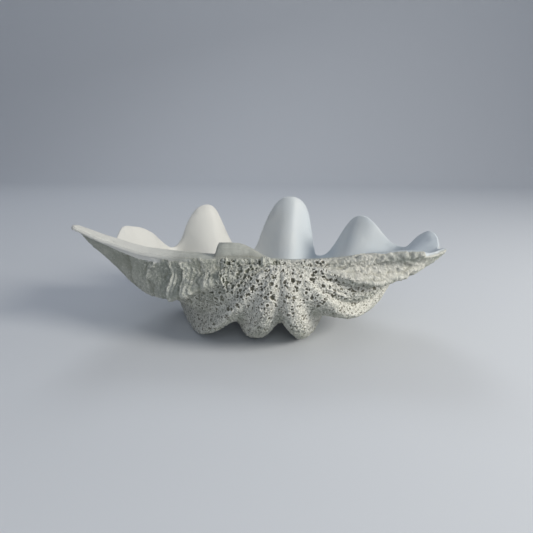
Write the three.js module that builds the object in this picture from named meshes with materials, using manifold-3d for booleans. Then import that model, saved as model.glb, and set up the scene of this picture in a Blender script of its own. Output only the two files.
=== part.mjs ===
// One valve of a giant clam: a thick, deeply folded half shell lying on the ribs of its outer side.
// Millimetres. +X runs along the hinge to the blunt end, +Y runs from the hinge to the folded
// margin, +Z is up. The valve rests on z = 0 and the bowl opens upward.
import * as THREE from "three";
import Module from "manifold-3d";

// The margin as a half oval about the hinge line, and the law that the valve grew by.
// Every earlier stage is the margin made smaller by s and turned about the hinge line.
const HALF_LENGTH = 265;
const HINGE_SHIFT = -24;
const MARGIN_DEPTH = 238;
const MARGIN_POWER = 0.95;
const TURN_RATE = 1.9;
const TURN_EASE = -0.27;
const FIRST_STAGE = 0.06;
const PITCH_DEG = 0;

// Folds round the margin, from the long pointed end to the blunt end. Furrow and rib take turns.
const FOLD_AT = [0, 0.1, 0.188, 0.283, 0.366, 0.431, 0.541, 0.606, 0.697, 0.797, 0.867, 0.95, 1];
const TONGUE_WIDTH = [1.25, 0.85, 1.1, 1.15, 1.05, 0.98, 1.4, 0.85, 0.88, 0.8, 1.5, 1.1];
const FURROW_REACH = [-30, -1, 33, 45, 10, -14, -70];
const RIB_REACH = [-32, -23, -51, -48, -27, -33];
const THROW_AT_MARGIN = [19, 5, 4, 18, 21, 6, 28, 9, 28, 13, 11, 1, -1];
const THROW_OF_BELLY = [-5, 16, -13, 13.7, 0.5, 1, 5.5, 2.2, 1, 7, 4, 14, 4];
const BELLY_DELAY = [0, 0, 0, 2, 0, 0, 0, 1.5, 0, 0, 0, 0, 0];

const TONGUE_SQUARENESS = [1.15, 1.15, 1.15, 1.15, 1.15, 1.3, 1.5, 1.15, 1.15, 1, 1, 1.15];
const RIB_ROUNDNESS = Array(12).fill(1.15);
const RIB_SQUARENESS = Array(12).fill(1);

// How far the furrows of the outer side are filled on its old part, from which stage, over which run.
const GROOVE_FILL = [0.2, 0.8, 0.8, 0.75, 0.85, 1.3, 0];
const GROOVE_FILL_FROM = [0.5, 0.95, 0.45, 0.42, 0.45, 0.9, 0.8];
const GROOVE_FILL_RUN = 0.35;

// The ribs of the outer side fade into its flat face toward the umbo.
const RIB_CALM = 0.7;
const RIB_CALM_FROM = 0.5;
const RIB_CALM_RUN = 0.35;

// The two ends of the hinge sweep upward.
const POINTED_LIFT = 17;
const POINTED_LIFT_FROM = 165;
const POINTED_LIFT_RUN = 83;
const BLUNT_LIFT = 25;
const BLUNT_LIFT_FROM = 0;
const BLUNT_LIFT_RUN = 209;

// Wall of the shell: thin at the lip, thick toward the hinge.
const LIP_WALL = 5.5;
const BELLY_WALL = 14;
const RIB_FILL = 0.7;
const WALL_CALM = 0.95;

// Hinge plate along the straight side, its raised tooth, and the flat front wall of the bowl.
const PLATE_WIDTH = 18;
const PLATE_END_WIDTH = 3;
const PLATE_RISE_DEG = 10;
const PLATE_FALL_DEG = 3;
const PLATE_SLOPE_FROM = -70;
const PLATE_SLOPE_RUN = 70;
const PLATE_EDGE_ROUND = 0.5;
const FRONT_WALL_BLEND = 0.15;
const TOOTH_FROM = -86;
const TOOTH_RISE = 10;
const TOOTH_FALL_FROM = -56;
const TOOTH_FALL = 50;
const TOOTH_INSET = 14;
const TOOTH_HALF_WIDTH = 7;
const TOOTH_HEIGHT = 18;

// Worn flats on the lowest ribs, cut level.
const WORN_DEPTH = 2.6;

// Facets. Inside columns start along this share of the hinge, and rows on the plate are set in its widths.
const COLUMNS = 84;
const HINGE_SHARE = 0.6;
const OUTER_ROWS = 26;
const INNER_ROWS = 24;
const PLATE_ROWS = [0, 0.2, 0.38, 0.55, 0.72, 0.88, 1, 1.15, 1.35];

const SHELL_COLOUR = 0xd6d3c8;

function clamp(value, low, high) {
  return Math.min(high, Math.max(low, value));
}

function mix(a, b, t) {
  return a + (b - a) * t;
}

function ease(t) {
  const c = clamp(t, 0, 1);
  return c * c * (3 - 2 * c);
}

function smoothMin(a, b, k) {
  const h = clamp(0.5 + (0.5 * (b - a)) / k, 0, 1);
  return mix(b, a, h) - k * h * (1 - h);
}

function foldSpan(u) {
  let i = 0;
  while (i < FOLD_AT.length - 2 && u > FOLD_AT[i + 1]) {
    i += 1;
  }
  const t = clamp((u - FOLD_AT[i]) / (FOLD_AT[i + 1] - FOLD_AT[i]), 0, 1);
  return { i, t };
}

// 1 on the crest of a furrow (seen from inside), 0 on a rib.
function foldPhase(u, widths, squareness) {
  const { i, t } = foldSpan(u);
  const fromFurrow = i % 2 === 0 ? t : 1 - t;
  const c = (1 + Math.cos(Math.PI * Math.pow(fromFurrow, widths[i]))) / 2;
  const up = Math.pow(c, squareness[i]);
  return up / (up + Math.pow(1 - c, squareness[i]));
}

function alongFolds(u, values) {
  const { i, t } = foldSpan(u);
  return mix(values[i], values[i + 1], ease(t));
}

// Values that belong to every second knot, eased from one to the next.
function betweenKnots(u, values, first) {
  const last = values.length - 1;
  let i = 0;
  while (i < last && u > FOLD_AT[first + 2 * (i + 1)]) {
    i += 1;
  }
  if (i >= last) {
    return values[last];
  }
  const start = FOLD_AT[first + 2 * i];
  const end = FOLD_AT[first + 2 * (i + 1)];
  return mix(values[i], values[i + 1], ease((u - start) / (end - start)));
}

function marginX(u) {
  return HINGE_SHIFT - HALF_LENGTH * Math.cos(Math.PI * u);
}

function marginY(u) {
  return MARGIN_DEPTH * Math.pow(Math.max(Math.sin(Math.PI * u), 0), MARGIN_POWER);
}

// Growth direction and inward direction at the margin.
function marginFrame(u) {
  const x = marginX(u);
  const y = marginY(u);
  const step = 0.0005;
  const a = clamp(u - step, 0, 1);
  const b = clamp(u + step, 0, 1);
  const along = new THREE.Vector3(marginX(b) - marginX(a), marginY(b) - marginY(a), 0).normalize();
  const growth = new THREE.Vector3(x, y, TURN_RATE * y).normalize();
  const inward = new THREE.Vector3().crossVectors(along, growth).normalize();
  if (inward.z < 0) {
    inward.negate();
  }
  return { base: new THREE.Vector3(x, y, 0), growth, inward };
}

function turnAngle(s) {
  const stage = Math.log(1 / s);
  return TURN_RATE * stage + TURN_EASE * stage * stage;
}

function foldSize(u, s) {
  const belly = 4 * (1 - s) * Math.pow(2 * s, alongFolds(u, BELLY_DELAY));
  return alongFolds(u, THROW_AT_MARGIN) + alongFolds(u, THROW_OF_BELLY) * belly;
}

// A point of the folded shell at place u round the margin and growth stage s.
// fill lifts the ribs toward the middle of the folds, calm lowers the furrows to it, and even takes
// away how far the tongues reach past the ribs.
function shellPoint(u, s, fill = 0, calm = 0, even = 0) {
  const { base, growth, inward } = marginFrame(u);
  const phase = foldPhase(u, TONGUE_WIDTH, TONGUE_SQUARENESS);
  const reach = mix(betweenKnots(u, RIB_REACH, 1), betweenKnots(u, FURROW_REACH, 0), phase);
  const fold = foldPhase(u, RIB_ROUNDNESS, RIB_SQUARENESS);
  const push = foldSize(u, s) * (2 * fold - 1) * (1 - mix(fill, calm, ease(fold)));
  const point = base.clone();
  point.addScaledVector(growth, reach * (1 - even) * s);
  point.addScaledVector(inward, push);
  const turn = turnAngle(s);
  const y = point.y * Math.cos(turn) + point.z * Math.sin(turn);
  const z = -point.y * Math.sin(turn) + point.z * Math.cos(turn);
  return new THREE.Vector3(s * point.x, s * y, s * z);
}

// Inward normal of the shell with its folds calmed, so that a thick wall never crosses itself.
function shellNormal(u, s) {
  const calm = WALL_CALM * ease((1 - s) / 0.5);
  const du = 0.004;
  const ds = 0.006;
  const u0 = clamp(u - du, 0, 1);
  const u1 = clamp(u + du, 0, 1);
  const at = (place, stage) => shellPoint(place, stage, calm, calm, calm);
  const across = at(u1, s).sub(at(u0, s));
  const out = at(u, s * (1 + ds)).sub(at(u, s * (1 - ds)));
  return across.cross(out).normalize();
}

function wallAt(s) {
  return LIP_WALL + BELLY_WALL * ease((1 - s) / 0.75);
}

function fillAt(s) {
  return RIB_FILL * ease((1 - s) / 0.3);
}

function liftEnds(point) {
  const pointed = clamp((-point.x - POINTED_LIFT_FROM) / POINTED_LIFT_RUN, 0, 2);
  const blunt = clamp((point.x - BLUNT_LIFT_FROM) / BLUNT_LIFT_RUN, 0, 2);
  point.z += POINTED_LIFT * pointed * pointed + BLUNT_LIFT * blunt * blunt;
  return point;
}

function ribCalm(s) {
  return RIB_CALM * ease((RIB_CALM_FROM - s) / RIB_CALM_RUN);
}

function grooveFill(u, s) {
  const age = (betweenKnots(u, GROOVE_FILL_FROM, 0) - s) / GROOVE_FILL_RUN;
  return betweenKnots(u, GROOVE_FILL, 0) * ease(age);
}

function outerPoint(u, s) {
  return liftEnds(shellPoint(u, s, ribCalm(s), grooveFill(u, s)));
}

// Wide below the umbo, narrow toward both ends of the hinge.
function plateWidth(x) {
  const end = x < 0 ? marginX(0) : marginX(1);
  const taper = Math.sqrt(Math.max(1 - (x / end) * (x / end), 0));
  return PLATE_WIDTH * taper + PLATE_END_WIDTH;
}

function bump(t) {
  const c = clamp(1 - t * t, 0, 1);
  return c * c;
}

function toothHeight(x, y) {
  const rise = ease((x - TOOTH_FROM) / TOOTH_RISE);
  const fall = 1 - ease((x - TOOTH_FALL_FROM) / TOOTH_FALL);
  const across = (y - TOOTH_INSET) / TOOTH_HALF_WIDTH;
  return TOOTH_HEIGHT * rise * fall * Math.pow(bump(across), 0.6);
}

// The hinge edge of the outer side at a place along the hinge; straight across the umbo.
function hingePoint(x) {
  const left = marginX(0) * FIRST_STAGE;
  const right = marginX(1) * FIRST_STAGE;
  if (x > left && x < right) {
    const from = shellPoint(0, FIRST_STAGE);
    return from.lerp(shellPoint(1, FIRST_STAGE), (x - left) / (right - left));
  }
  return x < 0 ? shellPoint(0, x / marginX(0)) : shellPoint(1, x / marginX(1));
}

// The plate rises inward on the pointed side and falls inward on the blunt side.
function plateSlope(x) {
  const degrees = mix(-PLATE_RISE_DEG, PLATE_FALL_DEG, ease((x - PLATE_SLOPE_FROM) / PLATE_SLOPE_RUN));
  return Math.tan(THREE.MathUtils.degToRad(degrees));
}

// The hinge plate, one lip wall above the hinge edge.
function platePoint(x, y) {
  const point = hingePoint(x);
  point.y += y;
  point.z += LIP_WALL - y * plateSlope(x);
  return point;
}

// The inside of the bowl. It never passes the front wall, which stands at the edge of the plate.
function bowlPoint(x, y, width) {
  const { u, s } = placeOf(x, y);
  const point = shellPoint(u, s, fillAt(s));
  point.addScaledVector(shellNormal(u, s), wallAt(s));
  const radius = Math.hypot(point.y, point.z);
  const angle = Math.atan2(-point.z, point.y);
  const limit = Math.acos(Math.min(width / y, 1));
  const behind = ease((angle - limit + FRONT_WALL_BLEND) / (2 * FRONT_WALL_BLEND));
  const turned = smoothMin(angle, limit, FRONT_WALL_BLEND);
  const reach = mix(radius, y, behind);
  const along = mix(point.x, hingePoint(x).x, behind);
  return new THREE.Vector3(along, reach * Math.cos(turned), -reach * Math.sin(turned));
}

function insidePoint(x, y, width) {
  const away = x < 0 ? x / marginX(0) : x / marginX(1);
  const past = ease((y / width - 1) / (PLATE_EDGE_ROUND + 1.5 * away * away));
  const plate = platePoint(x, y);
  const point = past > 0 ? plate.lerp(bowlPoint(x, y, width), past) : plate;
  point.z += toothHeight(x, y);
  return liftEnds(point);
}

// Growth stage and place of a spot in the hinge plane.
function placeOf(x, y) {
  let low = 0;
  let high = 1;
  for (let i = 0; i < 50; i += 1) {
    const middle = (low + high) / 2;
    const side = marginX(middle) * y - x * marginY(middle);
    if (side < 0) {
      low = middle;
    } else {
      high = middle;
    }
  }
  const u = y > 1e-6 ? (low + high) / 2 : x < 0 ? 0 : 1;
  const s = Math.hypot(x, y) / Math.hypot(marginX(u), marginY(u));
  return { u, s: clamp(s, FIRST_STAGE, 1) };
}

// A row-by-row table of points on the inside: columns fan out from the hinge and run to the margin.
function innerTable() {
  const rows = [];
  for (let j = 0; j <= INNER_ROWS; j += 1) {
    const row = [];
    for (let i = 0; i <= COLUMNS; i += 1) {
      const u = i / COLUMNS;
      row.push(innerPoint(u, j));
    }
    rows.push(row);
  }
  return rows;
}

// Rows lie close together over the plate and its edge, then spread evenly to the margin.
function innerPoint(u, j) {
  const depth = marginY(u);
  const plate = Math.min(plateWidth(marginX(u)) / Math.max(depth, 1), 0.5);
  const edge = PLATE_ROWS.length - 1;
  const past = Math.max((j - edge) / (INNER_ROWS - edge), 0);
  const v = mix(PLATE_ROWS[Math.min(j, edge)] * plate, 1, past);
  const x = marginX(u) * (HINGE_SHARE + (1 - HINGE_SHARE) * Math.pow(v, 1 / (1 - HINGE_SHARE)));
  return insidePoint(x, depth * v, plateWidth(x));
}

function outerTable() {
  const rows = [];
  for (let j = 0; j <= OUTER_ROWS; j += 1) {
    const s = Math.pow(FIRST_STAGE, j / OUTER_ROWS);
    const row = [];
    for (let i = 0; i <= COLUMNS; i += 1) {
      row.push(outerPoint(i / COLUMNS, s));
    }
    rows.push(row);
  }
  return rows;
}

class Skin {
  constructor() {
    this.points = [];
    this.faces = [];
  }

  addRows(rows) {
    return rows.map((row) => row.map((point) => this.points.push(point) - 1));
  }

  // Two triangles a cell.
  sheet(rows, turned) {
    for (let j = 0; j + 1 < rows.length; j += 1) {
      this.strip(rows[j], rows[j + 1], turned);
    }
  }

  // Each cell is split along its shorter diagonal.
  strip(a, b, turned) {
    for (let i = 0; i + 1 < a.length; i += 1) {
      if (this.gap(a[i], b[i + 1]) <= this.gap(a[i + 1], b[i])) {
        this.face(a[i], a[i + 1], b[i + 1], turned);
        this.face(a[i], b[i + 1], b[i], turned);
      } else {
        this.face(a[i], a[i + 1], b[i], turned);
        this.face(a[i + 1], b[i + 1], b[i], turned);
      }
    }
  }

  gap(a, b) {
    return this.points[a].distanceTo(this.points[b]);
  }

  // Joins two edges with different numbers of points, by their place along X.
  lace(a, b, turned) {
    let i = 0;
    let j = 0;
    while (i < a.length - 1 || j < b.length - 1) {
      const nextA = i < a.length - 1 ? this.points[a[i + 1]].x : Infinity;
      const nextB = j < b.length - 1 ? this.points[b[j + 1]].x : Infinity;
      if (nextA <= nextB) {
        this.face(a[i], a[i + 1], b[j], turned);
        i += 1;
      } else {
        this.face(a[i], b[j + 1], b[j], turned);
        j += 1;
      }
    }
  }

  face(a, b, c, turned) {
    this.faces.push(turned ? [a, c, b] : [a, b, c]);
  }
}

// The hinge edge of a sheet: down one side, across its first row, up the other side.
function hingeEdge(rows) {
  const left = rows.map((row) => row[0]);
  const right = rows.map((row) => row[COLUMNS]);
  const top = rows[rows.length - 1];
  return [...left, ...top.slice(1, -1), ...right.reverse()];
}

function closedSkin() {
  const skin = new Skin();
  const outer = skin.addRows(outerTable());
  const inner = skin.addRows(innerTable()).reverse();
  skin.sheet(outer, false);
  skin.sheet(inner, true);
  skin.strip(outer[0], inner[0], true);
  skin.lace(hingeEdge(outer), hingeEdge(inner), false);
  return skin;
}

// The solid tilted to its resting pose, with the lowest ribs worn level at z = 0.
async function restingSolid() {
  const skin = closedSkin();
  const pitch = THREE.MathUtils.degToRad(PITCH_DEG);
  const turn = new THREE.Matrix4().makeRotationX(pitch);
  skin.points.forEach((point) => point.applyMatrix4(turn));
  const lowest = Math.min(...skin.points.map((point) => point.z));
  skin.points.forEach((point) => {
    point.z -= lowest + WORN_DEPTH;
  });
  const wasm = await Module();
  wasm.setup();
  const valve = new wasm.Manifold(meshOf(wasm, skin.points, skin.faces));
  const floor = new THREE.BoxGeometry(2 * HALF_LENGTH + 100, 2 * MARGIN_DEPTH + 200, 40);
  floor.translate(0, 0, -20);
  return valve.subtract(boxSolid(wasm, floor)).getMesh();
}

function meshOf(wasm, points, faces) {
  const vertProperties = new Float32Array(points.flatMap((point) => [point.x, point.y, point.z]));
  const triVerts = new Uint32Array(faces.flat());
  const mesh = new wasm.Mesh({ numProp: 3, vertProperties, triVerts });
  mesh.merge();
  return mesh;
}

function boxSolid(wasm, box) {
  const place = box.getAttribute("position");
  const points = [];
  for (let i = 0; i < place.count; i += 1) {
    points.push(new THREE.Vector3().fromBufferAttribute(place, i));
  }
  const index = Array.from(box.getIndex().array);
  const faces = [];
  for (let i = 0; i < index.length; i += 3) {
    faces.push(index.slice(i, i + 3));
  }
  return new wasm.Manifold(meshOf(wasm, points, faces));
}

// The bounding box is centred over the origin, with its underside on z = 0.
function valveMesh(solid) {
  const geometry = new THREE.BufferGeometry();
  const place = new THREE.BufferAttribute(new Float32Array(solid.vertProperties), 3);
  geometry.setAttribute("position", place);
  geometry.setIndex(Array.from(solid.triVerts));
  geometry.computeBoundingBox();
  const centre = geometry.boundingBox.getCenter(new THREE.Vector3());
  geometry.translate(-centre.x, -centre.y, -geometry.boundingBox.min.z);
  geometry.computeVertexNormals();
  const surface = new THREE.MeshStandardMaterial({ color: SHELL_COLOUR, roughness: 0.7, metalness: 0 });
  const mesh = new THREE.Mesh(geometry, surface);
  mesh.name = "clam_valve";
  return mesh;
}

const part = new THREE.Group();
part.name = "giant_clam_valve";
part.add(valveMesh(await restingSolid()));

export default part;
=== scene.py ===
"""One valve of a giant clam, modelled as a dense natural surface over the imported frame.

The valve is built from the law it grew by: the folded margin, made smaller stage by stage and
turned about the hinge line. A node tree then wears the outside into borings, growth leaves and
cords, and one material gives the chalky outside and the porcelain inside.
"""
import math

import bpy
import numpy as np
from bpy.props import FloatProperty, FloatVectorProperty, IntProperty, PointerProperty
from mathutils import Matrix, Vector


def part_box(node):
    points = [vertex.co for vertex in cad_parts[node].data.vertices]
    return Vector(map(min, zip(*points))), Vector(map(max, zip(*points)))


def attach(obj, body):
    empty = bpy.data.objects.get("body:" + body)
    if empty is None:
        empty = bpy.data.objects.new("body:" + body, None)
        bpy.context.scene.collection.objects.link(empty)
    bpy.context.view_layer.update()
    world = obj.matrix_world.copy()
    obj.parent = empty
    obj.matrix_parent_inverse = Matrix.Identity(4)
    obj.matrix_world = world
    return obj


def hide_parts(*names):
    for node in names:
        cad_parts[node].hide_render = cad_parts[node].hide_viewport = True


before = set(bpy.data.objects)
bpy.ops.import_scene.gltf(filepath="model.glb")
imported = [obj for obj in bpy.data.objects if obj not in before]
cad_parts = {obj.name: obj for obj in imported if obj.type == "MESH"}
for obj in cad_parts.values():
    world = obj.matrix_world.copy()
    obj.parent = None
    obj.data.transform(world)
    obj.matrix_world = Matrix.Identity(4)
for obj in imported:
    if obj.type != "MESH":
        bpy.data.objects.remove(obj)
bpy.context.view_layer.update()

bl_info = {
    "name": "Giant Clam Valve",
    "version": (1, 0, 0),
    "blender": (4, 5, 0),
    "location": "3D View > Sidebar > Clam",
    "description": "Builds one giant clam valve with a worn outside and a porcelain inside",
    "category": "Add Mesh",
}

NODE = "clam_valve"
CAD_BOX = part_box(NODE)
MM = 0.001
MOST_TRIANGLES = 200000

# The growth law, in millimetres, as the CAD has it.
HALF_LENGTH = 265
HINGE_SHIFT = -24
MARGIN_DEPTH = 238
MARGIN_POWER = 0.95
TURN_RATE = 1.9
TURN_EASE = -0.27

# The first stage of growth that is made, nearer the umbo than the CAD's.
FIRST_STAGE = 0.02

# Folds round the margin, from the long pointed end to the blunt end. Furrow and rib take turns.
FOLD_AT = np.array([0, 0.1, 0.188, 0.283, 0.366, 0.431, 0.541, 0.606, 0.697, 0.797, 0.867, 0.95, 1])
TONGUE_WIDTH = np.array([1.25, 0.85, 1.1, 1.15, 1.05, 0.98, 1.4, 0.85, 0.88, 0.8, 1.5, 1.1])
TONGUE_SQUARENESS = np.array([1.15, 1.15, 1.15, 1.15, 1.15, 1.3, 1.5, 1.15, 1.15, 1, 1, 1.15])
FURROW_REACH = np.array([-30, -1, 33, 45, 10, -14, -70])
RIB_REACH = np.array([-32, -23, -51, -48, -27, -33])
RIB_ROUNDNESS = np.full(12, 1.15)
RIB_SQUARENESS = np.ones(12)
THROW_AT_MARGIN = np.array([19, 5, 4, 18, 21, 6, 28, 9, 28, 13, 11, 1, -1])
THROW_OF_BELLY = np.array([-5, 16, -13, 13.7, 0.5, 1, 5.5, 2.2, 1, 7, 4, 14, 4])
BELLY_DELAY = np.array([0, 0, 0, 2, 0, 0, 0, 1.5, 0, 0, 0, 0, 0])

# How far the furrows of the outer side are filled on its old part, and how far its ribs fade there.
GROOVE_FILL = np.array([0.2, 0.8, 0.8, 0.75, 0.85, 1.3, 0])
GROOVE_FILL_FROM = np.array([0.5, 0.95, 0.45, 0.42, 0.45, 0.9, 0.8])
GROOVE_FILL_RUN = 0.35
RIB_CALM = 0.7
RIB_CALM_FROM = 0.5
RIB_CALM_RUN = 0.35

# The two ends of the hinge sweep upward.
POINTED_LIFT = 17
POINTED_LIFT_FROM = 165
POINTED_LIFT_RUN = 83
BLUNT_LIFT = 25
BLUNT_LIFT_FROM = 0
BLUNT_LIFT_RUN = 209

# The wall is thin at the lip and thick toward the hinge. Each run is a share of the growth.
LIP_WALL = 5.5
BELLY_WALL = 14
BELLY_WALL_RUN = 0.75
RIB_FILL = 0.7
RIB_FILL_RUN = 0.3
WALL_CALM = 0.95
WALL_CALM_RUN = 0.5

# The hinge plate along the straight side, with its tooth and the front wall of the bowl.
PLATE_WIDTH = 18
PLATE_END_WIDTH = 3
PLATE_SLOPE = (-10, 3)
PLATE_SLOPE_FROM = -70
PLATE_SLOPE_RUN = 70
PLATE_EDGE_ROUND = 0.5
PLATE_EDGE_FLARE = 1.5
FRONT_WALL_BLEND = 0.15
TOOTH_FROM = -86
TOOTH_RISE = 10
TOOTH_FALL_FROM = -56
TOOTH_FALL = 50
TOOTH_INSET = 14
TOOTH_HALF_WIDTH = 7
TOOTH_SHARPNESS = 1.2
TOOTH_HEIGHT = 18

# Where the grid is dense, and how full its rounded edges are.
HINGE_SHARE = 0.6
OLD_FROM = 0.76
PLATE_ROWS_OVER = 1.6
PLATE_ROWS_CROWDING = 1.2
LIP_ROWS = 6
LIP_BULGE = 0.85
BAND_BULGE = 0.12

# Small steps for slopes, and how often a search is halved.
MARGIN_STEP = 0.0005
ROUND_STEP = 0.004
GROWTH_STEP = 0.006
SEARCH_STEPS = 40

# Where the hinge edge is weathered, where its plate is rough and where the band below it is clean.
RUBBED_TO = -135
RUBBED_RUN = 35
RUBBED_FROM_Y = 0.5
RUBBED_RUN_Y = 3
ROUGH_PLATE_FROM = -22
ROUGH_PLATE_TO = 130
ROUGH_PLATE_RUN = 30
ROUGH_PLATE_SHARE = 0.45
ROUGH_PLATE_FADE = 0.4
CLEAN_TO = -140
CLEAN_RUN = 45
CLEAN_DEPTH = 0.006

# How much of the lowest ribs is worn away flat.
WORN_DEPTH = 2.6


# ---------------------------------------------------------------- sums on arrays

def mix(a, b, t):
    """A share t of the way from a to b."""
    return a + (b - a) * t


def ease(t):
    """A smooth step from 0 to 1."""
    c = np.clip(t, 0, 1)
    return c * c * (3 - 2 * c)


def smooth_min(a, b, k):
    """The smaller of a and b, rounded over k where they meet."""
    h = np.clip(0.5 + 0.5 * (b - a) / k, 0, 1)
    return mix(b, a, h) - k * h * (1 - h)


def unit(v):
    return v / np.maximum(np.linalg.norm(v, axis=-1, keepdims=True), 1e-12)


# ---------------------------------------------------------------- the growth law

def fold_span(u):
    """Which fold each place is in, and how far along it."""
    i = np.clip(np.searchsorted(FOLD_AT, u, side="left") - 1, 0, len(FOLD_AT) - 2)
    t = np.clip((u - FOLD_AT[i]) / (FOLD_AT[i + 1] - FOLD_AT[i]), 0, 1)
    return i, t


def fold_phase(u, widths, squareness):
    """1 on the crest of a furrow seen from inside, 0 on a rib."""
    i, t = fold_span(u)
    t = np.where(i % 2 == 0, t, 1 - t)
    c = (1 + np.cos(np.pi * t ** widths[i])) / 2
    up = c ** squareness[i]
    return up / (up + (1 - c) ** squareness[i])


def along_folds(u, values):
    """Values that belong to every knot, eased from one to the next."""
    i, t = fold_span(u)
    return mix(values[i], values[i + 1], ease(t))


def between_knots(u, values, first):
    """Values that belong to every second knot, eased from one to the next."""
    knots = FOLD_AT[first::2]
    i = np.clip(np.searchsorted(knots, u, side="left") - 1, 0, len(values) - 2)
    t = np.clip((u - knots[i]) / (knots[i + 1] - knots[i]), 0, 1)
    return mix(values[i], values[i + 1], ease(t))


def margin_x(u):
    return HINGE_SHIFT - HALF_LENGTH * np.cos(np.pi * u)


def margin_y(u):
    return MARGIN_DEPTH * np.maximum(np.sin(np.pi * u), 0) ** MARGIN_POWER


def margin_frame(u):
    """Base point, growth direction and inward direction at the margin."""
    x, y, zero = margin_x(u), margin_y(u), np.zeros_like(u)
    a, b = np.clip(u - MARGIN_STEP, 0, 1), np.clip(u + MARGIN_STEP, 0, 1)
    along = unit(np.stack([margin_x(b) - margin_x(a), margin_y(b) - margin_y(a), zero], -1))
    growth = unit(np.stack([x, y, TURN_RATE * y], -1))
    inward = unit(np.cross(along, growth))
    inward *= np.where(inward[..., 2:] < 0, -1, 1)
    return np.stack([x, y, zero], -1), growth, inward


def fold_size(u, s):
    """Half the height of the folds, which swell in the middle of the growth."""
    belly = 4 * (1 - s) * (2 * s) ** along_folds(u, BELLY_DELAY)
    return along_folds(u, THROW_AT_MARGIN) + along_folds(u, THROW_OF_BELLY) * belly


def groove_fill(u, s):
    """How far the furrows of the outer side are filled on its old part."""
    age = (between_knots(u, GROOVE_FILL_FROM, 0) - s) / GROOVE_FILL_RUN
    return between_knots(u, GROOVE_FILL, 0) * ease(age)


def rib_calm(s):
    """How far the ribs of the outer side are lowered toward the umbo."""
    return RIB_CALM * ease((RIB_CALM_FROM - s) / RIB_CALM_RUN)


def shell_points(u, s, fill=0.0, calm=0.0, even=0.0):
    """Points of the folded shell at place u round the margin and growth stage s.

    fill lifts the ribs toward the middle of the folds, calm lowers the furrows to it, and even
    takes away how far the tongues reach past the ribs.
    """
    base, growth, inward = margin_frame(u)
    phase = fold_phase(u, TONGUE_WIDTH, TONGUE_SQUARENESS)
    reach = mix(between_knots(u, RIB_REACH, 1), between_knots(u, FURROW_REACH, 0), phase)
    fold = fold_phase(u, RIB_ROUNDNESS, RIB_SQUARENESS)
    push = fold_size(u, s) * (2 * fold - 1) * (1 - mix(fill, calm, ease(fold)))
    point = base + growth * (reach * (1 - even) * s)[..., None] + inward * push[..., None]
    stage = np.log(1 / s)
    turn = TURN_RATE * stage + TURN_EASE * stage * stage
    x, y, z = point[..., 0], point[..., 1], point[..., 2]
    turned_y = y * np.cos(turn) + z * np.sin(turn)
    turned_z = z * np.cos(turn) - y * np.sin(turn)
    return np.stack([s * x, s * turned_y, s * turned_z], -1)


def shell_normals(u, s):
    """Inward normals of the shell with its folds calmed, so that a thick wall never crosses itself."""
    calm = (WALL_CALM * ease((1 - s) / WALL_CALM_RUN),) * 3
    u0, u1 = np.clip(u - ROUND_STEP, 0, 1), np.clip(u + ROUND_STEP, 0, 1)
    across = shell_points(u1, s, *calm) - shell_points(u0, s, *calm)
    out = shell_points(u, s * (1 + GROWTH_STEP), *calm) - shell_points(u, s * (1 - GROWTH_STEP), *calm)
    return unit(np.cross(across, out))


def lift_ends(p):
    """Bends both ends of the hinge upward."""
    pointed = np.clip((-p[..., 0] - POINTED_LIFT_FROM) / POINTED_LIFT_RUN, 0, 2)
    blunt = np.clip((p[..., 0] - BLUNT_LIFT_FROM) / BLUNT_LIFT_RUN, 0, 2)
    p[..., 2] += POINTED_LIFT * pointed ** 2 + BLUNT_LIFT * blunt ** 2
    return p


def place_of(x, y):
    """Place round the margin and growth stage of spots in the hinge plane."""
    low, high = np.zeros_like(x), np.ones_like(x)
    for _ in range(SEARCH_STEPS):
        middle = (low + high) / 2
        left = margin_x(middle) * y - x * margin_y(middle) < 0
        low, high = np.where(left, middle, low), np.where(left, high, middle)
    u = np.where(y > 1e-6, (low + high) / 2, np.where(x < 0, 0.0, 1.0))
    s = np.hypot(x, y) / np.hypot(margin_x(u), margin_y(u))
    return u, np.clip(s, FIRST_STAGE, 1)


def hinge_points(x):
    """The hinge edge of the outer side, straight across the umbo."""
    left, right = margin_x(0.0) * FIRST_STAGE, margin_x(1.0) * FIRST_STAGE
    side = np.where(x < 0, 0.0, 1.0)
    s = np.clip(x / np.where(x < 0, margin_x(0.0), margin_x(1.0)), FIRST_STAGE, 1)
    edge = shell_points(side, s)
    ends = shell_points(np.array([0.0, 1.0]), np.array([FIRST_STAGE, FIRST_STAGE]))
    across = mix(ends[0], ends[1], ((x - left) / (right - left))[..., None])
    return np.where(((x > left) & (x < right))[..., None], across, edge)


def plate_width(x):
    end = np.where(x < 0, margin_x(0.0), margin_x(1.0))
    return PLATE_WIDTH * np.sqrt(np.maximum(1 - (x / end) ** 2, 0)) + PLATE_END_WIDTH


def plate_slope(x):
    """The plate rises inward on the pointed side and falls inward on the blunt side."""
    degrees = mix(*PLATE_SLOPE, ease((x - PLATE_SLOPE_FROM) / PLATE_SLOPE_RUN))
    return np.tan(np.radians(degrees))


def tooth_height(x, y):
    rise = ease((x - TOOTH_FROM) / TOOTH_RISE)
    fall = 1 - ease((x - TOOTH_FALL_FROM) / TOOTH_FALL)
    across = np.clip(1 - ((y - TOOTH_INSET) / TOOTH_HALF_WIDTH) ** 2, 0, 1) ** TOOTH_SHARPNESS
    return TOOTH_HEIGHT * rise * fall * across


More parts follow.
